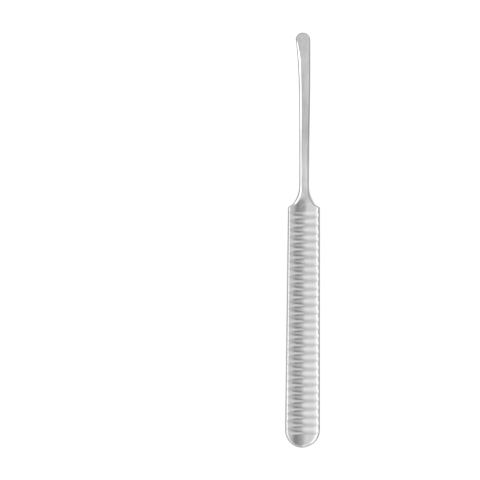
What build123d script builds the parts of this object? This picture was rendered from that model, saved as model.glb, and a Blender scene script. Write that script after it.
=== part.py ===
from build123d import *
import math
import os

# Fluted periosteal elevator, forged and polished from one piece of stainless steel.
# It lies on its back face: +Y points from the handle to the blade, +Z up.
# The origin is under the middle of its box, on the surface that it lies on.

# Lengths along the instrument, in millimetres: together they make the 160 overall
handle_length = 92.7
shoulder_length = 8.4
shank_length = 16.9
blade_length = 42.0
overall_length = handle_length + shoulder_length + shank_length + blade_length

# Handle: a flat oval section that narrows a little towards the shoulder
butt_width = 13.6
shoulder_width = 12.4
handle_thickness = 6.6
rim_thickness = 2.15
land_width = 2.0
grip_rounding = 1.3

# Flutes across both faces of the handle, crest and valley in one even wave, between a smooth
# band below the shoulder and a smooth butt
flute_pitch = 3.08
flute_depth = 0.4
first_flute = 3.1
smooth_butt = 6.0
crest_drop = 0.06
valley_share = 0.54

# Shoulder: a short slope, then a long sweep into the shank
slope_run = 2.2
slope_rise = 1.35
slope_blend = 1.5

# Shank and blade
shank_width = 3.62
shank_thickness = 3.4
shank_rounding = 1.1
blade_width = 5.75
bend_run = 27.0
bend_angle = 20.0

# Overrun of the cuts past the solid, and margin for picking edges by their place
cut_overrun = 2.0
pick_margin = 0.05

# How the blade thins towards its tip: place from the root (1) to the round end (0), then the
# thickness, the crown of the faces, and the width and height of the rounded corners, as shares
# of the shank's thickness, crown and rounding
blade_shares = [
    (0.72, 0.80, 0.80, 1.00, 0.92),
    (0.45, 0.62, 0.60, 1.00, 0.72),
    (0.22, 0.46, 0.50, 0.90, 0.50),
    (0.08, 0.34, 0.45, 0.55, 0.36),
    (0.00, 0.28, 0.40, 0.32, 0.30),
]
round_corner_share = 1 - math.sqrt(0.5)

# Places along the instrument
butt_y = -overall_length / 2
tip_y = overall_length / 2
shoulder_y = butt_y + handle_length
shank_y = shoulder_y + shoulder_length
blade_y = tip_y - blade_length
middle_z = handle_thickness / 2
face_z = handle_thickness

# Crowned faces: an arc from the rim, where the handle is widest, to the flat land that it lies on
widest = max(butt_width, shoulder_width)
face_fall = (handle_thickness - rim_thickness) / 2
face_run = (widest ** 2 - land_width ** 2) / 4
face_axis_z = face_z - (face_run + face_fall ** 2) / (2 * face_fall)
face_radius = math.hypot(land_width / 2, face_z - face_axis_z)
crown_z = face_axis_z + face_radius
shank_face_z = middle_z + shank_thickness / 2
middle = Plane.XY.offset(middle_z)
face_axis = Axis((0, 0, face_axis_z), (0, 1, 0))

# Point where the straight side of the handle meets its round butt
butt_radius = butt_width / 2
side_run = handle_length - butt_radius
side_reach = math.hypot(shoulder_width / 2, side_run)
side_lean = math.atan2(side_run, shoulder_width / 2) - math.acos(butt_radius / side_reach)
side_foot = (butt_radius * math.cos(side_lean), butt_y + butt_radius + butt_radius * math.sin(side_lean))

# Wave of the flutes: as many as the handle takes, the heights of a crest and a valley, and the
# slope where they meet
flute_count = int((handle_length - first_flute - smooth_butt) / flute_pitch) + 1
flank_slope = 2 * math.atan(2 * flute_depth / flute_pitch)
valley_width = flute_pitch * valley_share
crest_width = flute_pitch - valley_width
valley_height = valley_width / 2 * math.tan(flank_slope / 2)
crest_height = crest_width / 2 * math.tan(flank_slope / 2)
flank_z = crown_z - crest_drop - crest_height
top_flute_y = shoulder_y - first_flute
bottom_flute_y = top_flute_y - (flute_count - 1) * flute_pitch


def face_rim(piece, low_y, high_y):
    """Edges round the front face whose middles lie between two places along the handle."""
    rim = piece.edges().filter_by(Axis.Z, reverse=True)
    rim = rim.filter_by(lambda edge: edge.center().Z > middle_z + pick_margin)
    rim = rim.filter_by(lambda edge: low_y - pick_margin < edge.center().Y < high_y - pick_margin)
    return rim.filter_by(lambda edge: abs(edge.center().X) > pick_margin or edge.center().Y < 0)


# Handle: its front half from outline, face and flutes, and its back as the mirror image
with BuildPart() as handle:
    with BuildSketch(middle):
        slope_end = (shoulder_width / 2 - slope_run, shoulder_y + slope_rise)
        with BuildLine():
            RadiusArc((0, butt_y), side_foot, -butt_radius)
            Line(side_foot, (shoulder_width / 2, shoulder_y))
            Line((shoulder_width / 2, shoulder_y), slope_end)
            TangentArc((shank_width / 2, shank_y), slope_end, tangent=(0, -1))
            Line((shank_width / 2, shank_y), (0, shank_y))
            mirror(about=Plane.YZ)
        make_face()
        slope_corners = vertices().filter_by(lambda corner: abs(corner.Y - slope_end[1]) < pick_margin)
        fillet(slope_corners, slope_blend)
    extrude(amount=handle_thickness)

    with BuildSketch(Plane.YZ):
        face_start_y = butt_y - cut_overrun
        neck_middle = (shoulder_y + shoulder_length / 2, (crown_z + shank_face_z) / 2)
        with BuildLine():
            Line((face_start_y, face_axis_z), (face_start_y, crown_z))
            Line((face_start_y, crown_z), (shoulder_y, crown_z))
            TangentArc((shoulder_y, crown_z), neck_middle, tangent=(1, 0))
            TangentArc((shank_y, shank_face_z), neck_middle, tangent=(-1, 0))
            Line((shank_y, shank_face_z), (shank_y, face_axis_z))
            Line((shank_y, face_axis_z), (face_start_y, face_axis_z))
        make_face()
    revolve(axis=face_axis, mode=Mode.INTERSECT)
    fillet(face_rim(handle, butt_y, shoulder_y), grip_rounding)
    fillet(face_rim(handle, slope_end[1] + slope_blend, shank_y), shank_rounding)

    with BuildSketch(Plane.YZ):
        top_z = crown_z + cut_overrun
        run_out = (top_z - flank_z) / math.tan(flank_slope)
        low_flank_y = bottom_flute_y - valley_width / 2
        high_flank_y = top_flute_y + valley_width / 2
        with BuildLine():
            Line((low_flank_y - run_out, top_z), (low_flank_y, flank_z))
            for flute in range(flute_count):
                valley_y = bottom_flute_y + flute * flute_pitch
                valley_start = (valley_y - valley_width / 2, flank_z)
                valley_end = (valley_y + valley_width / 2, flank_z)
                ThreePointArc(valley_start, (valley_y, flank_z - valley_height), valley_end)
                if flute < flute_count - 1:
                    crest_top = (valley_y + flute_pitch / 2, flank_z + crest_height)
                    ThreePointArc(valley_end, crest_top, (valley_end[0] + crest_width, flank_z))
            Line((high_flank_y, flank_z), (high_flank_y + run_out, top_z))
            Line((high_flank_y + run_out, top_z), (low_flank_y - run_out, top_z))
        make_face()
    revolve(axis=face_axis, mode=Mode.SUBTRACT)
    split(bisect_by=Plane.XY.offset(face_z), keep=Keep.BOTTOM)
    mirror(about=middle)

# Round end of the blade: it leans with the bend, so its rounded rim reaches furthest
turn = math.radians(bend_angle)
bend_radius = bend_run / math.sin(turn)
shank_crown = face_radius - math.sqrt(face_radius ** 2 - shank_width ** 2 / 4)
tip_radius = blade_width / 2
tip_thin, tip_crown_share, rim_width_share, rim_height_share = blade_shares[-1][1:]
rim_width = shank_rounding * rim_width_share
rim_height = shank_rounding * rim_height_share
rim_side = shank_thickness * tip_thin / 2 - shank_crown * tip_crown_share - rim_height
rim_reach = math.hypot(rim_width * math.cos(turn), rim_height * math.sin(turn))
tip_reach = (tip_radius - rim_width) * math.cos(turn) + rim_side * math.sin(turn) + rim_reach
round_y = tip_y - tip_reach
round_z = middle_z + bend_radius * (1 - math.cos(turn))


def blade_section(place, thin, crown_share, corner_width_share, corner_height_share):
    """Section of the blade, square to a centre line that bends up towards the tip."""
    section_y = round_y - (round_y - blade_y) * place
    section_turn = math.asin(max(section_y - round_y + bend_run, 0) / bend_radius)
    section_z = middle_z + bend_radius * (1 - math.cos(section_turn))
    along = (0, math.cos(section_turn), math.sin(section_turn))
    half_width = (blade_width + (shank_width - blade_width) * place) / 2
    half_thickness = shank_thickness * thin / 2
    corner_width = shank_rounding * corner_width_share
    corner_height = shank_rounding * corner_height_share
    flat = half_width - corner_width
    rim = half_thickness - shank_crown * crown_share
    side = rim - corner_height
    bulge_x = half_width - corner_width * round_corner_share
    bulge_z = rim - corner_height * round_corner_share
    with BuildSketch(Plane(origin=(0, section_y, section_z), x_dir=(1, 0, 0), z_dir=along)) as outline:
        with BuildLine():
            ThreePointArc((-flat, -rim), (0, -half_thickness), (flat, -rim))
            ThreePointArc((flat, -rim), (bulge_x, -bulge_z), (half_width, -side))
            Line((half_width, -side), (half_width, side))
            ThreePointArc((half_width, side), (bulge_x, bulge_z), (flat, rim))
            ThreePointArc((flat, rim), (0, half_thickness), (-flat, rim))
            ThreePointArc((-flat, rim), (-bulge_x, bulge_z), (-half_width, side))
            Line((-half_width, side), (-half_width, -side))
            ThreePointArc((-half_width, -side), (-bulge_x, -bulge_z), (-flat, -rim))
        make_face()
    return outline.sketch.faces()[0]


# Shank and blade: the end of the neck carries on as the shank, then flares, thins and bends
with BuildPart() as blade:
    neck_end = handle.faces().sort_by(Axis.Y)[-1]
    shank_sections = [neck_end.moved(Location((0, shank_length * share, 0))) for share in (0, 0.5, 1)]
    blade_sections = [blade_section(*shares) for shares in blade_shares]
    loft(shank_sections + blade_sections)
    half_end = split(blade_sections[-1], bisect_by=Plane.YZ, keep=Keep.TOP, mode=Mode.PRIVATE)
    end_axis = Axis((0, round_y, round_z), (0, -math.sin(turn), math.cos(turn)))
    revolve(half_end, axis=end_axis, revolution_arc=180)

# Elevator: handle, shank and blade are one forging
with BuildPart() as elevator:
    add(handle.part)
    add(blade.part)

elevator.part.label = "elevator"
os.makedirs("parts", exist_ok=True)
export_step(elevator.part, "parts/elevator.step")
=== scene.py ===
import math
import random

import bpy
import numpy as np
from mathutils import Matrix, Vector
from mathutils.kdtree import KDTree


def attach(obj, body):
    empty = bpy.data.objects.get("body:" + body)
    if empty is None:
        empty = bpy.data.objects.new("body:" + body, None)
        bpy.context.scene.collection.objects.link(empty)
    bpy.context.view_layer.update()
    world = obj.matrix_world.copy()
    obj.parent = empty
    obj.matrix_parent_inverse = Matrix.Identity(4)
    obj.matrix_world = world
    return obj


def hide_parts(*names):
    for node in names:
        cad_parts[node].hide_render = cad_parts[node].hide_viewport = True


# Fluted periosteal elevator in satin and polished steel, seen from above on a white table.
# Sizes are in millimetres until they reach Blender, and follow the part's own.

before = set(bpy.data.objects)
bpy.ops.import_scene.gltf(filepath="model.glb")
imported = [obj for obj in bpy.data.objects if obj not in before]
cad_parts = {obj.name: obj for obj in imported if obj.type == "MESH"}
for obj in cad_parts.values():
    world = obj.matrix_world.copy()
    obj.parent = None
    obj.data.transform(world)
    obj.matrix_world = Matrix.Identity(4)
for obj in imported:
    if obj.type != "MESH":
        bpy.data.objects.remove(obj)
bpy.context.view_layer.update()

MM = 0.001

# Camera: a long lens above the instrument, a little to its right, at the photograph's scale
PHOTO_SIDE = 480
MM_PER_PIXEL = 0.3866
CENTRE_PIXEL = (303.75, 240.4)
CAMERA_DISTANCE = 1200.0
CAMERA_SIDE_TILT = math.radians(11.0)
CAMERA_ROLL = math.radians(0.39)
CAMERA_CLIP = (50.0, 20000.0)
SENSOR_WIDTH = 36.0

# Lengths along the instrument, whose ends lie a hair inside the solid's
BUTT_Y = -79.995
HANDLE_LENGTH = 92.695
SHOULDER_LENGTH = 8.4
SHANK_LENGTH = 16.9
TIP_Y = 79.985

# Handle
BUTT_RADIUS = 6.799
SHOULDER_HALF = 6.2
FACE_Z = 6.6
MIDDLE_Z = FACE_Z / 2
RIM_HALF = 1.075
LAND_HALF = 1.0
FRONT_LAND_SOFTNESS = 0.14
BACK_LAND_SOFTNESS = 0.03
GRIP_ROUNDING = 1.3
SLOPE_ROUNDING = 0.35

# Flutes, and how uneven they are in place, tilt and bow
FLUTE_PITCH = 3.08
FLUTE_DEPTH = 0.4
FLUTE_COUNT = 28
FIRST_FLUTE = 3.1
CREST_DROP = 0.06
VALLEY_SHARE = 0.54
FLUTE_SOFTNESS = 0.03
FLUTE_SHIFT = 0.09
FLUTE_TILT = 0.028
FLUTE_BOW = 0.2
FRONT_SEED = 3
BACK_SEED = 8

# Flutes become shallower towards the edges, more so on the left, and most over the last stretch
FLUTE_END = 0.45
FLUTE_END_SHARE = 0.4
FLUTE_FADE_SHARES = {"left": 0.6, "right": 0.25}

# Shoulder
SLOPE_RUN = 2.2
SLOPE_RISE = 1.35
SLOPE_BLEND = 0.32
NECK_START = 1.2

# Shank and blade
SHANK_HALF = 1.81
SHANK_HALF_THICK = 1.7
SHANK_ROUNDING = 1.1
BLADE_HALF = 2.84
EVEN_FLARE_SHARE = 0.55
BEND_RUN = 27.0
BEND_ANGLE = math.radians(20)

# How the blade thins: place from the round end (0) to the root (1), then the thickness, the fall of
# the face at its corner, and the width and height of the rounded corner, as shares of the shank's
BLADE_SHARES = [
    (0.00, 0.28, 0.40, 0.32, 0.30),
    (0.08, 0.34, 0.45, 0.55, 0.36),
    (0.22, 0.46, 0.50, 0.90, 0.50),
    (0.45, 0.62, 0.60, 1.00, 0.72),
    (0.72, 0.80, 0.80, 1.00, 0.92),
    (1.00, 1.00, 0.18, 1.00, 1.00),
]

# Places along the instrument
SHOULDER_Y = BUTT_Y + HANDLE_LENGTH
SHANK_Y = SHOULDER_Y + SHOULDER_LENGTH
BLADE_Y = SHANK_Y + SHANK_LENGTH
TOP_FLUTE_Y = SHOULDER_Y - FIRST_FLUTE
BOTTOM_FLUTE_Y = TOP_FLUTE_Y - (FLUTE_COUNT - 1) * FLUTE_PITCH

# Crowned faces, which are arcs about one axis, and the slope where a flute's valley and crest meet
FACE_FALL = MIDDLE_Z - RIM_HALF
AXIS_Z = FACE_Z - (BUTT_RADIUS**2 - LAND_HALF**2 + FACE_FALL**2) / (2 * FACE_FALL)
FACE_RADIUS = math.hypot(LAND_HALF, FACE_Z - AXIS_Z)
SHANK_FACE_RADIUS = MIDDLE_Z + SHANK_HALF_THICK - AXIS_Z
SHANK_CROWN = FACE_RADIUS - math.sqrt(FACE_RADIUS**2 - SHANK_HALF**2)
FLANK_SLOPE = 2 * math.atan(2 * FLUTE_DEPTH / FLUTE_PITCH)

# The blade's sizes at each place, and its round end, which leans with the bend
SHANK_SIZES = (SHANK_HALF_THICK, SHANK_CROWN, SHANK_ROUNDING, SHANK_ROUNDING)
BLADE_PLACES = [shares[0] for shares in BLADE_SHARES]
BLADE_SIZES = [[share * size for share, size in zip(shares[1:], SHANK_SIZES)] for shares in BLADE_SHARES]
BEND_RADIUS = BEND_RUN / math.sin(BEND_ANGLE)
RIM_WIDTH, RIM_HEIGHT = BLADE_SIZES[0][2:]
RIM_SIDE = BLADE_SIZES[0][0] - BLADE_SIZES[0][1] - RIM_HEIGHT
RIM_REACH = math.hypot(RIM_WIDTH * math.cos(BEND_ANGLE), RIM_HEIGHT * math.sin(BEND_ANGLE))
TIP_REACH = (BLADE_HALF - RIM_WIDTH) * math.cos(BEND_ANGLE) + RIM_SIDE * math.sin(BEND_ANGLE) + RIM_REACH
ROUND_Y = TIP_Y - TIP_REACH

# Rolled rims: places along the instrument, and the rounding at each
ROLL_PLACES = [SHOULDER_Y - 1.2, SHOULDER_Y, SHOULDER_Y + SLOPE_RISE + 0.4, SHOULDER_Y + SLOPE_RISE + 3.2]
ROLL_RADII = [GRIP_ROUNDING, SLOPE_ROUNDING, SLOPE_ROUNDING, SHANK_ROUNDING]

# Ground rims of the front's two sides and of the back: a facet, and a steep chamfer outside it. Each
# size is given at distances along the instrument from the shoulder, and angles are in degrees. On
# shank and blade the left facet is flatter and wider than the right one.
RIMS = {
    "left": {
        "facet angle": [(0.0, 43), (1.6, 36), (4.0, 34), (6.0, 33), (8.8, 32), (25.3, 31)],
        "facet width": [
            (-1.0, 0.98),
            (0.0, 0.5),
            (1.6, 1.3),
            (4.0, 1.55),
            (6.0, 1.3),
            (8.8, 1.05),
            (25.3, 1.0),
            (37.3, 1.05),
            (45.3, 1.15),
            (51.3, 1.28),
            (56.8, 1.42),
            (60.7, 1.4),
            (63.8, 0.95),
        ],
        "chamfer angle": [
            (0.0, 65),
            (1.6, 62),
            (4.0, 60),
            (6.0, 58),
            (8.8, 56),
            (25.3, 52),
            (37.3, 51),
            (45.3, 50),
        ],
        "chamfer width": [
            (-92.2, 0.4),
            (-84.7, 0.52),
            (-1.0, 0.52),
            (0.0, 0.3),
            (1.6, 0.5),
            (4.0, 0.65),
            (8.8, 0.65),
            (25.3, 0.55),
            (37.3, 0.5),
            (51.3, 0.5),
            (56.8, 0.46),
            (60.7, 0.4),
            (63.8, 0.34),
        ],
    },
    "right": {
        "facet angle": [(0.0, 43), (1.6, 50), (4.0, 60)],
        "facet width": [(-1.0, 0.9), (0.0, 0.4), (1.6, 0.35), (4.0, 0.28)],
        "chamfer angle": [(1.6, 65), (4.0, 70)],
        "chamfer width": [
            (-92.2, 0.12),
            (-84.7, 0.35),
            (-1.0, 0.35),
            (0.0, 0.15),
            (51.3, 0.15),
            (56.8, 0.12),
        ],
    },
    "back": {
        "facet angle": [(0.0, 43)],
        "facet width": [(-1.0, 0.95), (0.0, 0.4), (1.6, 0.4), (4.0, 0.5)],
        "chamfer angle": [(0.0, 65)],
        "chamfer width": [
            (-1.0, 0.35),
            (0.0, 0.15),
            (1.6, 0.15),
            (4.0, 0.2),
            (37.3, 0.2),
            (45.3, 0.15),
            (51.3, 0.12),
        ],
    },
}
FACET_CREASE = 0.05
LEAST_FACET_SLOPE = 0.05

# How deep a rim's facet and chamfer may go, as a share of the height of its face over the middle of
# the metal: on the handle, and on the blade
HANDLE_LIMIT_SHARE = 0.9
BLADE_LIMIT_SHARES = {"left": 1.45, "right": 1.2, "back": 0.4}

# Where the blade's section takes over from the shank's, sooner on the front than on the back, and
# where the ground rims give way to the rolled rim of the round end
BLADE_BLEND_START = SHANK_Y - 3.0
FRONT_BLEND_END = SHANK_Y + 6.0
GROUND_END = [ROUND_Y - 0.6, ROUND_Y + 0.6]

# The front of shank and blade is ground a little out of level and nearly flat, but not at the tip
FACE_SLANT = 0.06
SLANT_PLACES = [SHANK_Y, BLADE_Y, ROUND_Y - 9.0, ROUND_Y]
FLATNESS_SHARE = 0.85
FLATNESS_END = [ROUND_Y - 6.0, ROUND_Y]

# Steel: noise cells to a millimetre along x, y and z, and the middle span of the noise's values
STREAK_CELLS = (2.2, 0.09, 2.2)
LINE_CELLS = (9.0, 0.3, 9.0)
MARK_CELLS = (0.5, 7.0, 7.0)
CLOUD_CELLS = (0.12, 0.07, 0.12)
PATCH_CELLS = (0.4, 0.16, 0.4)
WAVE_CELLS = (0.35, 0.8, 0.35)
FINE_DETAIL = 3.0
SOFT_DETAIL = 2.0
WAVE_DETAIL = 1.5
NOISE_SPAN = (0.3, 0.7)

# Steel: tones and roughness of satin and polish, and where along the neck one gives way to the other
SATIN_TONES = (0.64, 0.72)
POLISH_TONES = (0.64, 0.68)
PATCH_TONES = (0.94, 1.06)
BLUE_SHARE = 1.008
SATIN_ROUGHNESS = (0.34, 0.42)
POLISH_ROUGHNESS = (0.12, 0.17)
SATIN_START = (SHOULDER_Y + 4.0, SHANK_Y + 1.0)

# The shank is lighter than the blade
SHANK_TONE = 1.3
SHANK_TONE_PLACES = (SHANK_Y + 2.0, SHANK_Y + 22.0)

# A painted highlight lightens facets that face left, between the flat face and the steep side, by how
# far they face up or down and to the left, from the shoulder as far as the round end. These facets also get
# their own roughness.
PAINTED_HIGHLIGHT_TONE = 0.95
BRIGHT_ROUGHNESS = 0.2
BRIGHT_START = (0.96, 0.91)
BRIGHT_END = (0.66, 0.8)
BRIGHT_PLACES = (SHOULDER_Y + 1.2, SHOULDER_Y + 3.2)
LEFT_FACING = (-0.1, -0.3)
LEFT_PLACES = (ROUND_Y + 0.8, ROUND_Y - 0.8)

# Painted shade darkens the steep sides by how far they face up or down, and on shank and blade more on the
# left than on the right
POLISH_SIDE_SHADE = 0.42
POLISH_SIDE_FACING = (0.58, 0.84)
SATIN_LEFT_SHADE = 0.32
SATIN_LEFT_FACING = (0.66, 0.8)
SATIN_RIGHT_SHADE = 0.38
SATIN_RIGHT_FACING = (0.82, 0.955)

# Height of the marks of grinding, and of the slow waves that polishing by hand leaves
MARK_HEIGHT = 0.004
MARK_STRENGTH = 0.5
WAVE_HEIGHT = 0.09
SATIN_WAVE_SHARE = 0.25

# Studio: a tent's light by the lean of the surface that mirrors it, from -1 to 1. Its two halves
# differ, and grow or fade along the instrument.
TENT_LEFT = 0.8
TENT_LEFT_SLOPE = 0.32
TENT_RIGHT = 0.95
TENT_RIGHT_SLOPE = -0.45
TENT_CHANGE = (-0.02, 0.14)

# The tent's dark opening: its middle, its reach to each side, and how far it is sheared
OPENING_LEAN = -0.16
OPENING_LEFT = 0.2
OPENING_RIGHT = 0.42
OPENING_BELOW = 0.45
OPENING_ABOVE = 0.42
OPENING_SHEAR = 0.55
OPENING_CORE = 0.15
OPENING_DEPTH = 0.43

# Bright sheets low down at the sides: leans at which each starts and is full, and its light. They
# fade for surfaces that face the tip.
SHEETS = [(-0.43, -0.5, 0.95), (0.38, 0.5, 0.2), (0.52, 0.6, 0.63)]
SHEETS_TOP = (0.75, 0.4)

# Lamp and floor
LAMP_PLACE = (300.0, 200.0, 1200.0)
LAMP_SIZE = (900.0, 900.0)
LAMP_POWER = 1.5
FLOOR_SIDE = 6000.0
FLOOR_COLOUR = 0.4
FLOOR_GLOW = 0.75

# Outline of the plan: points on each stretch, the step between its even points, and the least step
BUTT_POINTS = 500
SWEEP_POINTS = 300
BLEND_POINTS = 30
FLARE_POINTS = 60
END_POINTS = 300
OUTLINE_STEP = 0.05
LEAST_STEP = 1e-9

# Grid of the mesh: steps across a face, a wall and a flute, and rows on each stretch
FACE_STEPS = 76
WALL_STEPS = 3
FLUTE_STEPS = 14
BUTT_ROWS = 24
SLOPE_ROWS = 25
NECK_ROWS = 26
SHANK_ROWS = 18
BLADE_ROWS = 58
TIP_ROWS = 20
POLE_ANGLE = math.radians(1.5)
BUTT_ANGLE = math.radians(71)
SLOPE_LEAD = 0.3
SLOPE_TRAIL = 0.75


def smooth_curve(places, values, wanted):
    """Values between a table's rows, on a curve that is smooth at each row."""
    places, values = np.asarray(places), np.asarray(values)
    slopes = np.gradient(values, places)
    index = np.clip(np.searchsorted(places, wanted) - 1, 0, len(places) - 2)
    span = places[index + 1] - places[index]
    t = np.clip((wanted - places[index]) / span, 0, 1)
    start = values[index] * (1 + 2 * t) * (1 - t) ** 2 + slopes[index] * span * t * (1 - t) ** 2
    end = values[index + 1] * t**2 * (3 - 2 * t) - slopes[index + 1] * span * t**2 * (1 - t)
    return start + end


def soft_min(a, b, softness):
    """The lower of two surfaces, with the line where they meet rounded off."""
    blend = np.clip(0.5 + 0.5 * (b - a) / softness, 0, 1)
    return b * (1 - blend) + a * blend - softness * blend * (1 - blend)


def between(first, second, share):
    """Values that go from the first to the second as the share goes from 0 to 1."""
    return first + (second - first) * share


def blade_half_width(y):
    """Half the width of the blade, which flares evenly at first and then faster towards the tip."""
    share = np.clip((np.asarray(y) - BLADE_Y) / (ROUND_Y - BLADE_Y), 0, 1)
    flare = EVEN_FLARE_SHARE * share + (1 - EVEN_FLARE_SHARE) * share**4
    return between(SHANK_HALF, BLADE_HALF, flare)


def butt_side():
    """Plan of the round butt, as far as the point where the handle's straight side leaves it."""
    centre_y = BUTT_Y + BUTT_RADIUS
    side_run = SHOULDER_Y - centre_y
    lean = math.atan2(side_run, SHOULDER_HALF) - math.acos(BUTT_RADIUS / math.hypot(SHOULDER_HALF, side_run))
    turns = np.linspace(-math.pi / 2, lean, BUTT_POINTS)
    return [(BUTT_RADIUS * math.cos(turn), centre_y + BUTT_RADIUS * math.sin(turn)) for turn in turns]


def shoulder_side():
    """Plan of the shoulder: a short slope, a small blend, and a long sweep into the shank."""
    top = np.array((SHOULDER_HALF, SHOULDER_Y))
    corner = np.array((SHOULDER_HALF - SLOPE_RUN, SHOULDER_Y + SLOPE_RISE))
    across, along = corner[0] - SHANK_HALF, SHANK_Y - corner[1]
    radius = (across**2 + along**2) / (2 * across)
    sweep_y = np.linspace(corner[1], SHANK_Y, SWEEP_POINTS)
    sweep_x = SHANK_HALF + radius - np.sqrt(radius**2 - (SHANK_Y - sweep_y) ** 2)
    sweep = np.stack([sweep_x, sweep_y], 1)
    blend_start = corner - (corner - top) / np.linalg.norm(corner - top) * SLOPE_BLEND
    after = int(np.argmax(np.linalg.norm(sweep - corner, axis=1) > SLOPE_BLEND))
    t = np.linspace(0, 1, BLEND_POINTS)[:, None]
    blend = (1 - t) ** 2 * blend_start + 2 * t * (1 - t) * corner + t**2 * sweep[after]
    return [top, *blend, *sweep[after + 1 :]]


def blade_side():
    """Plan of the flaring blade and its round end."""
    flare_y = np.linspace(BLADE_Y, ROUND_Y, FLARE_POINTS)[:-1]
    flare = list(zip(blade_half_width(flare_y), flare_y))
    turns = np.linspace(0, math.pi / 2, END_POINTS)
    return flare + [(BLADE_HALF * math.cos(turn), ROUND_Y + BLADE_HALF * math.sin(turn)) for turn in turns]


def outline():
    """Right-hand side of the flat plan, from the butt to the tip, as points (x, y)."""
    corners = np.array(butt_side() + shoulder_side() + blade_side())
    steps = np.linalg.norm(np.diff(corners, axis=0), axis=1)
    run = np.concatenate([[0], np.cumsum(steps)])
    keep = np.concatenate([[True], steps > LEAST_STEP])
    run, corners = run[keep], corners[keep]
    even = np.unique(np.concatenate([run, np.arange(0, run[-1], OUTLINE_STEP)]))
    return np.stack([np.interp(even, run, corners[:, 0]), np.interp(even, run, corners[:, 1])], 1)


def nearest_on_outline(points, line):
    """For each plan point: its distance from the outline, the nearest place on it, and how far the
    outline faces sideways there."""
    tree = KDTree(len(line))
    for index, (x, y) in enumerate(line):
        tree.insert((x, y, 0), index)
    tree.balance()
    found = np.array([tree.find((x, y, 0))[1] for x, y in points])
    best = np.full(len(points), np.inf)
    foot = np.zeros_like(points)
    sideways = np.zeros(len(points))
    for offset in (-1, 0):
        start = np.clip(found + offset, 0, len(line) - 2)
        a, b = line[start], line[start + 1]
        way = b - a
        length = np.linalg.norm(way, axis=1)
        share = np.clip(((points - a) * way).sum(1) / length**2, 0, 1)
        place = a + way * share[:, None]
        gap = np.linalg.norm(points - place, axis=1)
        nearer = gap < best
        best[nearer] = gap[nearer]
        foot[nearer] = place[nearer]
        sideways[nearer] = (way[:, 1] / length)[nearer]
    return best, foot, sideways


def row_places():
    """Places of the mesh's rows along the plan, close together where the shape turns quickly."""
    butt = BUTT_Y + BUTT_RADIUS * (1 - np.cos(np.linspace(POLE_ANGLE, BUTT_ANGLE, BUTT_ROWS)))
    fine = FLUTE_PITCH / FLUTE_STEPS
    slope_start = SHOULDER_Y - SLOPE_LEAD
    slope_end = SHOULDER_Y + SLOPE_RISE + SLOPE_TRAIL
    grip = np.arange(butt[-1] + fine, slope_start, fine)
    slope = np.linspace(slope_start, slope_end, SLOPE_ROWS)
    slope[np.argmin(abs(slope - SHOULDER_Y))] = SHOULDER_Y
    neck = np.linspace(slope_end, SHANK_Y, NECK_ROWS)[1:]
    shank = np.linspace(SHANK_Y, BLADE_Y, SHANK_ROWS)[1:]
    blade = np.linspace(BLADE_Y, ROUND_Y, BLADE_ROWS)[1:]
    tip = ROUND_Y + BLADE_HALF * np.sin(np.linspace(0, math.pi / 2 - POLE_ANGLE, TIP_ROWS)[1:])
    return np.concatenate([butt, grip, slope, neck, shank, blade, tip])


def row_half_widths(rows, line):
    """Half the width of the plan at each row, exact at its two round ends."""
    widths = np.interp(rows, line[:, 1], line[:, 0])
    butt_rows = rows < BUTT_Y + BUTT_RADIUS
    widths[butt_rows] = np.sqrt(BUTT_RADIUS**2 - (rows[butt_rows] - BUTT_Y - BUTT_RADIUS) ** 2)
    tip_rows = rows > ROUND_Y
    widths[tip_rows] = np.sqrt(BLADE_HALF**2 - (rows[tip_rows] - ROUND_Y) ** 2)
    return widths


def face_radii(y):
    """Radius of the crowned face about the handle's long axis. It falls along the neck."""
    radii = np.where(y < SHOULDER_Y, FACE_RADIUS, SHANK_FACE_RADIUS)
    fall = FACE_RADIUS - SHANK_FACE_RADIUS
    start_y = SHOULDER_Y + NECK_START
    half = (SHANK_Y - start_y) / 2
    arc = (half**2 + (fall / 2) ** 2) / fall
    radii[(y >= SHOULDER_Y) & (y < start_y)] = FACE_RADIUS
    high = (y >= start_y) & (y < start_y + half)
    low = (y >= start_y + half) & (y < SHANK_Y)
    radii[high] = FACE_RADIUS - arc + np.sqrt(arc**2 - (y[high] - start_y) ** 2)
    radii[low] = SHANK_FACE_RADIUS + arc - np.sqrt(arc**2 - (SHANK_Y - y[low]) ** 2)
    return radii


def handle_section(x, y, foot, sideways, front):
    """Handle, neck and shank: height and slope of the crowned face, and height and reach of the
    rolled rim."""
    radii = face_radii(y)
    crown = AXIS_Z + np.sqrt(radii**2 - x**2) - MIDDLE_Z
    slope = x / np.sqrt(radii**2 - x**2) * sideways
    land_softness = FRONT_LAND_SOFTNESS if front else BACK_LAND_SOFTNESS
    crown = soft_min(crown, np.full(crown.shape, FACE_Z - MIDDLE_Z), land_softness)
    rolls = np.interp(foot[:, 1], ROLL_PLACES, ROLL_RADII)
    roll_x = foot[:, 0] - rolls * sideways
    roll_radii = face_radii(foot[:, 1]) - rolls
    side = AXIS_Z + np.sqrt(roll_radii**2 - roll_x**2) - MIDDLE_Z
    return crown, slope, side, rolls * (1 - roll_x * sideways / roll_radii)


def blade_section(x, y, front):
    """Blade: height of its thinner face, and height and reach of its rounded rim."""
    place = np.clip((ROUND_Y - y) / (ROUND_Y - BLADE_Y), 0, 1)
    sizes = [smooth_curve(BLADE_PLACES, column, place) for column in zip(*BLADE_SIZES)]
    thick, fall, corner_width, corner_height = sizes
    if front:
        fall = fall * (1 - FLATNESS_SHARE * np.interp(y, FLATNESS_END, [1, 0]))
    reach = np.where(y > ROUND_Y, np.hypot(x, y - ROUND_Y), x)
    crown = thick - fall * (reach / (blade_half_width(y) - corner_width)) ** 2
    return crown, thick - fall - corner_height, corner_width


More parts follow.
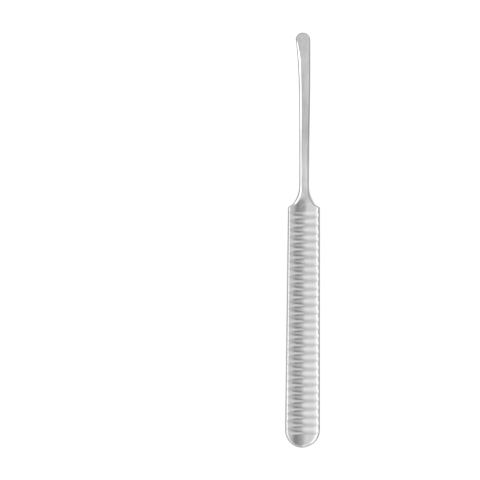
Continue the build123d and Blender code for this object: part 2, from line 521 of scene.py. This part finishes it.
def flute_valleys(x, seed):
    """Place of each valley's bottom at points across the handle, a little uneven, as hand-ground
    flutes are."""
    chance = random.Random(seed)
    valleys = []
    for number in range(FLUTE_COUNT):
        shift = chance.uniform(-FLUTE_SHIFT, FLUTE_SHIFT)
        tilt = chance.uniform(-FLUTE_TILT, FLUTE_TILT)
        bow = chance.uniform(-FLUTE_BOW, FLUTE_BOW)
        middle_y = BOTTOM_FLUTE_Y + number * FLUTE_PITCH + shift
        valleys.append(middle_y + tilt * x + bow * (x / BUTT_RADIUS) ** 2)
    return valleys


def arc_height(off, half):
    """Height of an arc over its chord, whose ends it leaves at the slope of the flutes' flanks."""
    radius = half / math.sin(FLANK_SLOPE)
    return np.sqrt(radius**2 - off**2) - radius * math.cos(FLANK_SLOPE)


def flute_wave(x, y, seed):
    """Height of the flutes above the line where valley and crest meet."""
    valleys = flute_valleys(x, seed)
    valley_half = FLUTE_PITCH * VALLEY_SHARE / 2
    wave = np.full(y.shape, np.inf)
    for valley_y in valleys:
        off = abs(y - valley_y)
        inside = off < valley_half
        wave = np.where(inside, -arc_height(np.where(inside, off, 0), valley_half), wave)
    for low_valley, high_valley in zip(valleys[:-1], valleys[1:]):
        low_y, high_y = low_valley + valley_half, high_valley - valley_half
        inside = (y >= low_y) & (y <= high_y)
        off = np.where(inside, y - (low_y + high_y) / 2, 0)
        wave = np.where(inside, arc_height(off, (high_y - low_y) / 2), wave)
    slope = math.tan(FLANK_SLOPE)
    before, after = valleys[0] - valley_half, valleys[-1] + valley_half
    wave = np.where(y < before, (before - y) * slope, wave)
    return np.where(y > after, (y - after) * slope, wave)


def flute_depths(x, y, gap, crown, seed):
    """How deep the flutes cut into the handle's face."""
    middle_drop = CREST_DROP + FLUTE_PITCH * (1 - VALLEY_SHARE) / 2 * math.tan(FLANK_SLOPE / 2)
    radii = FACE_RADIUS - middle_drop + flute_wave(x, y, seed)
    flutes = AXIS_Z + np.sqrt(radii**2 - x**2) - MIDDLE_Z
    depth = np.where(y < SHOULDER_Y, crown - soft_min(crown, flutes, FLUTE_SOFTNESS), 0)
    depth = depth * np.interp(gap, [0, FLUTE_END], [FLUTE_END_SHARE, 1])
    fade = np.where(x < 0, FLUTE_FADE_SHARES["left"], FLUTE_FADE_SHARES["right"])
    return depth * (1 - fade * (x / BUTT_RADIUS) ** 2)


def rim_size(side, name, y):
    """A size of a ground rim at places along the instrument."""
    places, values = zip(*RIMS[side][name])
    return np.interp(y - SHOULDER_Y, places, values)


def ground_rim(gap, room, y, face_slope, side):
    """How far a ground rim lies below the face carried on to the edge. Its facet is narrower where
    the metal is too thin for it."""
    facet_slope = np.tan(np.radians(rim_size(side, "facet angle", y)))
    chamfer_slope = np.tan(np.radians(rim_size(side, "chamfer angle", y)))
    facet_extra = np.maximum(facet_slope - face_slope, LEAST_FACET_SLOPE)
    chamfer_extra = chamfer_slope - facet_slope
    chamfer_width = rim_size(side, "chamfer width", y)
    limit_share = np.interp(y, [SHANK_Y, BLADE_Y], [HANDLE_LIMIT_SHARE, BLADE_LIMIT_SHARES[side]])
    widest = (room * limit_share - chamfer_extra * chamfer_width) / facet_extra
    facet_width = np.minimum(rim_size(side, "facet width", y), widest)
    level = np.zeros(gap.shape)
    facet = soft_min(facet_extra * (gap - facet_width), level, FACET_CREASE)
    return -facet - soft_min(chamfer_extra * (gap - chamfer_width), level, FACET_CREASE)


def rim_depths(x, y, gap, crown, slope, side, run, front):
    """How far the rims lie below the face: rolled round the tip, and ground elsewhere."""
    rolled = (crown - side) * (1 - np.sqrt(1 - (1 - np.clip(gap / run, 0, 1)) ** 2))
    if front:
        left = ground_rim(gap, crown, y, slope, "left")
        right = ground_rim(gap, crown, y, slope, "right")
        ground = np.where(x < 0, left, right)
    else:
        ground = ground_rim(gap, crown, y, slope, "back")
    return between(rolled, ground, np.interp(y, GROUND_END, [1, 0]))


def half_heights(x, y, line, front):
    """Height of the front or back face over the middle of the metal, before the blade is bent."""
    shape = x.shape
    x, y = x.ravel(), y.ravel()
    gap, foot, sideways = nearest_on_outline(np.stack([abs(x), y], 1), line)
    crown, slope, side, run = handle_section(abs(x), y, foot, sideways, front)
    blade_crown, blade_rim, blade_run = blade_section(abs(x), y, front)

    share = np.interp(y, [BLADE_BLEND_START, FRONT_BLEND_END if front else BLADE_Y], [0, 1])
    share = share**2 * (3 - 2 * share)
    crown = between(crown, blade_crown, share)
    side = between(side, blade_rim, share)
    run = between(run, blade_run, share)
    slope = slope * (1 - share)
    if front:
        crown = crown - x * np.interp(y, SLANT_PLACES, [0, 1, 1, 0]) * FACE_SLANT

    flutes = flute_depths(x, y, gap, crown, FRONT_SEED if front else BACK_SEED)
    rims = rim_depths(x, y, gap, crown, slope, side, run, front)
    return (crown - flutes - rims).reshape(shape)


def bend(x, y, height):
    """Points of the mesh from the flat plan: the blade's end bends up and forward."""
    turn = np.arcsin(np.clip((np.minimum(y, ROUND_Y) - ROUND_Y + BEND_RUN) / BEND_RADIUS, 0, 1))
    beyond = np.maximum(y - ROUND_Y, 0)
    centre_y = np.minimum(y, ROUND_Y) + beyond * np.cos(turn)
    centre_z = MIDDLE_Z + BEND_RADIUS * (1 - np.cos(turn)) + beyond * np.sin(turn)
    return np.stack([x, centre_y - height * np.sin(turn), centre_z + height * np.cos(turn)], -1)


def ring_points():
    """Points of the mesh, one ring round the instrument for each row: front, right-hand wall, back
    and left-hand wall."""
    line = outline()
    rows = row_places()
    across = np.sin(np.linspace(-math.pi / 2, math.pi / 2, FACE_STEPS + 1))
    x = row_half_widths(rows, line)[:, None] * across[None, :]
    y = np.repeat(rows[:, None], FACE_STEPS + 1, axis=1)
    front = half_heights(x, y, line, front=True)
    back = half_heights(x, y, line, front=False)
    shares = np.linspace(1, 0, WALL_STEPS + 1)[1:-1]
    right = front[:, -1:] * shares - back[:, -1:] * (1 - shares)
    left = front[:, :1] * shares - back[:, :1] * (1 - shares)
    right_x = np.repeat(x[:, -1:], len(shares), 1)
    left_x = np.repeat(x[:, :1], len(shares), 1)
    ring_x = np.concatenate([x, right_x, x[:, ::-1], left_x], 1)
    ring_y = np.repeat(rows[:, None], ring_x.shape[1], 1)
    return bend(ring_x, ring_y, np.concatenate([front, right, -back[:, ::-1], left[:, ::-1]], 1))


def cap_faces(ring):
    """Faces that close an end, each from one step of the front to the same step of the back. The
    outermost two take in the points of the walls."""
    last = len(ring) - WALL_STEPS
    strips = []
    for step in range(FACE_STEPS):
        strips.append([ring[step], ring[step + 1], ring[last - step - 1], ring[last - step]])
    strips[0] += ring[last + 1 :]
    strips[-1] = ring[FACE_STEPS - 1 : FACE_STEPS + WALL_STEPS + 2]
    return strips


def elevator_mesh():
    """The rings, joined by quads and closed by a cap at each end, with all faces outwards."""
    points = ring_points()
    count, size = points.shape[:2]
    numbers = np.arange(count * size).reshape(count, size)
    after = np.roll(numbers, -1, axis=1)
    quads = np.stack([numbers[:-1], after[:-1], after[1:], numbers[1:]], -1).reshape(-1, 4)
    butt_cap = [face[::-1] for face in cap_faces(numbers[0].tolist())]
    faces = quads.tolist() + butt_cap + cap_faces(numbers[-1].tolist())
    mesh = bpy.data.meshes.new("elevator_steel")
    mesh.from_pydata((points.reshape(-1, 3) * MM).tolist(), [], faces)
    mesh.validate()
    mesh.polygons.foreach_set("use_smooth", [True] * len(mesh.polygons))
    mesh.update()
    return mesh


def add_node(tree, kind, inputs=None, **settings):
    """A node with its settings made, and its inputs set or linked."""
    node = tree.nodes.new(kind)
    for name, value in settings.items():
        setattr(node, name, value)
    for name, value in (inputs or {}).items():
        if isinstance(value, bpy.types.NodeSocket):
            tree.links.new(value, node.inputs[name])
        else:
            node.inputs[name].default_value = value
    return node


def calculate(tree, operation, *values):
    """Result of a sum with sockets or numbers."""
    return add_node(tree, "ShaderNodeMath", dict(enumerate(values)), operation=operation).outputs[0]


def ramp(tree, value, low, high, start=0.0, end=1.0):
    """A smooth rise from start to end, as a value goes from low to high."""
    inputs = {"Value": value, "From Min": low, "From Max": high, "To Min": start, "To Max": end}
    return add_node(tree, "ShaderNodeMapRange", inputs, interpolation_type="SMOOTHSTEP").outputs[0]


def ramp_along(tree, along, places, start=0.0, end=1.0):
    """A smooth rise from start to end, between two places along the instrument."""
    return ramp(tree, along, places[0] * MM, places[1] * MM, start, end)


def blend_values(tree, share, first, second):
    """A value between two others."""
    return add_node(tree, "ShaderNodeMix", {"Factor": share, "A": first, "B": second}).outputs[0]


def grain(tree, place, cells, detail=FINE_DETAIL):
    """Noise with so many cells to a millimetre along x, y and z."""
    inputs = {"Vector": place, "Scale": tuple(cell / MM for cell in cells)}
    scaled = add_node(tree, "ShaderNodeMapping", inputs).outputs[0]
    inputs = {"Vector": scaled, "Scale": 1.0, "Detail": detail}
    return add_node(tree, "ShaderNodeTexNoise", inputs).outputs[0]


def metal_tone(tree, place, along, satin, streaks, clouds):
    """Tone of the metal: satin is streaked, a little patchy and lighter on the shank, and polish is
    almost even."""
    patches = grain(tree, place, PATCH_CELLS, SOFT_DETAIL)
    satin_tone = ramp(tree, streaks, *NOISE_SPAN, *SATIN_TONES)
    satin_tone = calculate(tree, "MULTIPLY", satin_tone, ramp(tree, patches, *NOISE_SPAN, *PATCH_TONES))
    shank_tone = ramp_along(tree, along, SHANK_TONE_PLACES, SHANK_TONE, 1.0)
    satin_tone = calculate(tree, "MULTIPLY", satin_tone, shank_tone)
    polish_tone = ramp(tree, clouds, *NOISE_SPAN, *POLISH_TONES)
    return blend_values(tree, satin, polish_tone, satin_tone)


def painted_highlight_share(tree, facing, leftward, along):
    """Where a painted highlight lightens the left-hand facets."""
    painted_highlight = calculate(tree, "MULTIPLY", ramp(tree, facing, *BRIGHT_END), ramp(tree, facing, *BRIGHT_START))
    painted_highlight = calculate(tree, "MULTIPLY", painted_highlight, leftward)
    return calculate(tree, "MULTIPLY", painted_highlight, ramp_along(tree, along, BRIGHT_PLACES))


def painted_side_shade(tree, facing, leftward, satin):
    """How much of its tone the metal keeps under the painted shade on its steep sides."""
    satin_left = ramp(tree, facing, *SATIN_LEFT_FACING, SATIN_LEFT_SHADE, 1.0)
    satin_right = ramp(tree, facing, *SATIN_RIGHT_FACING, SATIN_RIGHT_SHADE, 1.0)
    polish = ramp(tree, facing, *POLISH_SIDE_FACING, POLISH_SIDE_SHADE, 1.0)
    return blend_values(tree, satin, polish, blend_values(tree, leftward, satin_right, satin_left))


def metal_roughness(tree, satin, painted_highlight, streaks, clouds):
    """Roughness of the metal, lowest on the handle."""
    satin_rough = ramp(tree, streaks, *NOISE_SPAN, *SATIN_ROUGHNESS)
    polish_rough = ramp(tree, clouds, *NOISE_SPAN, *POLISH_ROUGHNESS)
    rough = blend_values(tree, satin, polish_rough, satin_rough)
    return blend_values(tree, painted_highlight, rough, BRIGHT_ROUGHNESS)


def metal_relief(tree, place, satin):
    """Slow waves under fine marks, which run across the handle and along shank and blade."""
    waves = grain(tree, place, WAVE_CELLS, WAVE_DETAIL)
    wave_share = blend_values(tree, satin, 1.0, SATIN_WAVE_SHARE)
    inputs = {"Height": waves, "Distance": WAVE_HEIGHT * MM, "Strength": wave_share}
    waved = add_node(tree, "ShaderNodeBump", inputs).outputs[0]
    marks = blend_values(tree, satin, grain(tree, place, MARK_CELLS), grain(tree, place, LINE_CELLS))
    inputs = {"Height": marks, "Distance": MARK_HEIGHT * MM, "Strength": MARK_STRENGTH, "Normal": waved}
    return add_node(tree, "ShaderNodeBump", inputs).outputs[0]


def steel():
    """Stainless steel: ground lengthwise to a satin on shank and blade, and polished on the handle."""
    material = bpy.data.materials.new("satin_steel")
    material.use_nodes = True
    tree = material.node_tree
    shader = tree.nodes["Principled BSDF"]
    shader.inputs["Metallic"].default_value = 1.0

    coordinates = add_node(tree, "ShaderNodeTexCoord").outputs
    place = coordinates["Object"]
    along = add_node(tree, "ShaderNodeSeparateXYZ", {"Vector": place}).outputs["Y"]
    normal = add_node(tree, "ShaderNodeSeparateXYZ", {"Vector": coordinates["Normal"]}).outputs
    facing = calculate(tree, "ABSOLUTE", normal["Z"])
    leftward = ramp(tree, normal["X"], *LEFT_FACING)
    leftward = calculate(tree, "MULTIPLY", leftward, ramp_along(tree, along, LEFT_PLACES))
    satin = ramp_along(tree, along, SATIN_START)
    painted_highlight = painted_highlight_share(tree, facing, leftward, along)
    streaks = grain(tree, place, STREAK_CELLS)
    clouds = grain(tree, place, CLOUD_CELLS, SOFT_DETAIL)

    tone = metal_tone(tree, place, along, satin, streaks, clouds)
    # Painted highlight: the left-hand facets are lightened towards a near-white tone
    tone = blend_values(tree, painted_highlight, tone, PAINTED_HIGHLIGHT_TONE)
    # Painted shade: the steep sides are darkened by how far they face up or down
    tone = calculate(tree, "MULTIPLY", tone, painted_side_shade(tree, facing, leftward, satin))
    inputs = {"Red": tone, "Green": tone, "Blue": calculate(tree, "MULTIPLY", tone, BLUE_SHARE)}
    colour = add_node(tree, "ShaderNodeCombineColor", inputs).outputs[0]
    tree.links.new(colour, shader.inputs["Base Color"])
    tree.links.new(metal_roughness(tree, satin, painted_highlight, streaks, clouds), shader.inputs["Roughness"])
    tree.links.new(metal_relief(tree, place, satin), shader.inputs["Normal"])
    return material


def make_elevator():
    """The whole instrument, in place of the plain solid."""
    elevator = bpy.data.objects.new("elevator_steel", elevator_mesh())
    bpy.context.scene.collection.objects.link(elevator)
    elevator.data.materials.append(steel())
    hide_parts("elevator")
    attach(elevator, "root")


def make_camera():
    """A long lens that looks down on the instrument, from slightly to its right."""
    data = bpy.data.cameras.new("camera")
    data.sensor_width = SENSOR_WIDTH
    data.lens = SENSOR_WIDTH * CAMERA_DISTANCE / (PHOTO_SIDE * MM_PER_PIXEL)
    data.clip_start, data.clip_end = (distance * MM for distance in CAMERA_CLIP)
    camera = bpy.data.objects.new("camera", data)
    bpy.context.scene.collection.objects.link(camera)
    turned = Matrix.Rotation(CAMERA_SIDE_TILT, 4, "Y") @ Matrix.Rotation(CAMERA_ROLL, 4, "Z")
    shift_x = (PHOTO_SIDE / 2 - CENTRE_PIXEL[0]) * MM_PER_PIXEL
    shift_y = (CENTRE_PIXEL[1] - PHOTO_SIDE / 2) * MM_PER_PIXEL
    middle = Vector((0, 0, MIDDLE_Z))
    place = middle + turned.to_3x3() @ Vector((shift_x, shift_y, CAMERA_DISTANCE))
    camera.matrix_world = Matrix.Translation(place * MM) @ turned
    bpy.context.scene.camera = camera


def mirror_leans(tree):
    """How far a surface leans sideways and along when it mirrors a direction upwards to the lens."""
    direction = add_node(tree, "ShaderNodeTexCoord").outputs["Generated"]
    view = (math.sin(CAMERA_SIDE_TILT), 0.0, math.cos(CAMERA_SIDE_TILT))
    middle = add_node(tree, "ShaderNodeVectorMath", {0: direction, 1: view}, operation="ADD").outputs[0]
    lean = add_node(tree, "ShaderNodeVectorMath", {0: middle}, operation="NORMALIZE").outputs[0]
    leans = add_node(tree, "ShaderNodeSeparateXYZ", {"Vector": lean}).outputs
    return leans["X"], leans["Y"]


def tent_light(tree, sideways, along):
    """Light of the tent's two halves."""
    left = calculate(tree, "MULTIPLY_ADD", along, TENT_LEFT_SLOPE, TENT_LEFT)
    right = calculate(tree, "MULTIPLY_ADD", along, TENT_RIGHT_SLOPE, TENT_RIGHT)
    return blend_values(tree, ramp(tree, sideways, *TENT_CHANGE), left, right)


def opening_loss(tree, sideways, along):
    """Light that is missing in the opening, most of it in its core."""
    off = calculate(tree, "SUBTRACT", sideways, OPENING_LEAN)
    across = [calculate(tree, "DIVIDE", off, width) for width in (-OPENING_LEFT, OPENING_RIGHT)]
    sheared = calculate(tree, "MULTIPLY_ADD", off, -OPENING_SHEAR, along)
    lengthwise = [calculate(tree, "DIVIDE", sheared, length) for length in (-OPENING_BELOW, OPENING_ABOVE)]
    reaches = [calculate(tree, "MAXIMUM", *pair) for pair in (across, lengthwise)]
    squares = [calculate(tree, "MULTIPLY", reach, reach) for reach in reaches]
    distance = calculate(tree, "SQRT", calculate(tree, "ADD", *squares))
    return ramp(tree, distance, 1.0, OPENING_CORE, 0.0, OPENING_DEPTH)


def make_world():
    """A soft white tent with a dark opening that the lens looks through, and bright sheets low down
    at its sides. Its pattern is laid out by how far a surface leans when it mirrors that part."""
    world = bpy.data.worlds.new("studio")
    bpy.context.scene.world = world
    world.use_nodes = True
    tree = world.node_tree
    background = tree.nodes["Background"]
    background.inputs["Color"].default_value = (1, 1, 1, 1)

    sideways, along = mirror_leans(tree)
    tent = tent_light(tree, sideways, along)
    tent = calculate(tree, "SUBTRACT", tent, opening_loss(tree, sideways, along))
    below_top = ramp(tree, along, *SHEETS_TOP)
    for start, end, light in SHEETS:
        sheet = calculate(tree, "MULTIPLY", ramp(tree, sideways, start, end, 0.0, light), below_top)
        tent = calculate(tree, "ADD", tent, sheet)
    tent = calculate(tree, "MAXIMUM", tent, 0.0)

    seen = add_node(tree, "ShaderNodeLightPath").outputs["Is Camera Ray"]
    tree.links.new(blend_values(tree, seen, tent, 1.0), background.inputs["Strength"])


def make_lamp():
    """A large soft lamp that faces the instrument. Polished steel doesn't mirror its shape."""
    data = bpy.data.lights.new("overhead", "AREA")
    data.shape = "RECTANGLE"
    data.size, data.size_y = (side * MM for side in LAMP_SIZE)
    data.energy = LAMP_POWER
    lamp = bpy.data.objects.new("overhead", data)
    bpy.context.scene.collection.objects.link(lamp)
    lamp.location = Vector(LAMP_PLACE) * MM
    lamp.rotation_euler = (-lamp.location).to_track_quat("-Z", "Y").to_euler()
    lamp.visible_glossy = False


def table_white():
    """A white that glows for the lens and for what mirrors it, less the shadow on it."""
    material = bpy.data.materials.new("floor_white")
    material.use_nodes = True
    tree = material.node_tree
    shader = tree.nodes["Principled BSDF"]
    shader.inputs["Base Color"].default_value = (FLOOR_COLOUR, FLOOR_COLOUR, FLOOR_COLOUR, 1)
    shader.inputs["Roughness"].default_value = 1.0
    shader.inputs["Specular IOR Level"].default_value = 0.0
    shader.inputs["Emission Color"].default_value = (1, 1, 1, 1)
    rays = add_node(tree, "ShaderNodeLightPath").outputs
    seen = calculate(tree, "MAXIMUM", rays["Is Camera Ray"], rays["Is Glossy Ray"])
    seen = calculate(tree, "MAXIMUM", seen, rays["Is Transmission Ray"])
    tree.links.new(calculate(tree, "MULTIPLY", seen, FLOOR_GLOW), shader.inputs["Emission Strength"])
    return material


def make_floor():
    """A white table, wide enough to fill the view."""
    side = FLOOR_SIDE * MM / 2
    corners = [(-side, -side, 0), (side, -side, 0), (side, side, 0), (-side, side, 0)]
    mesh = bpy.data.meshes.new("floor")
    mesh.from_pydata(corners, [], [(0, 1, 2, 3)])
    mesh.materials.append(table_white())
    floor = bpy.data.objects.new("floor", mesh)
    bpy.context.scene.collection.objects.link(floor)


make_camera()
make_world()
make_lamp()
make_floor()
make_elevator()

bpy.context.scene.view_settings.view_transform = "Standard"
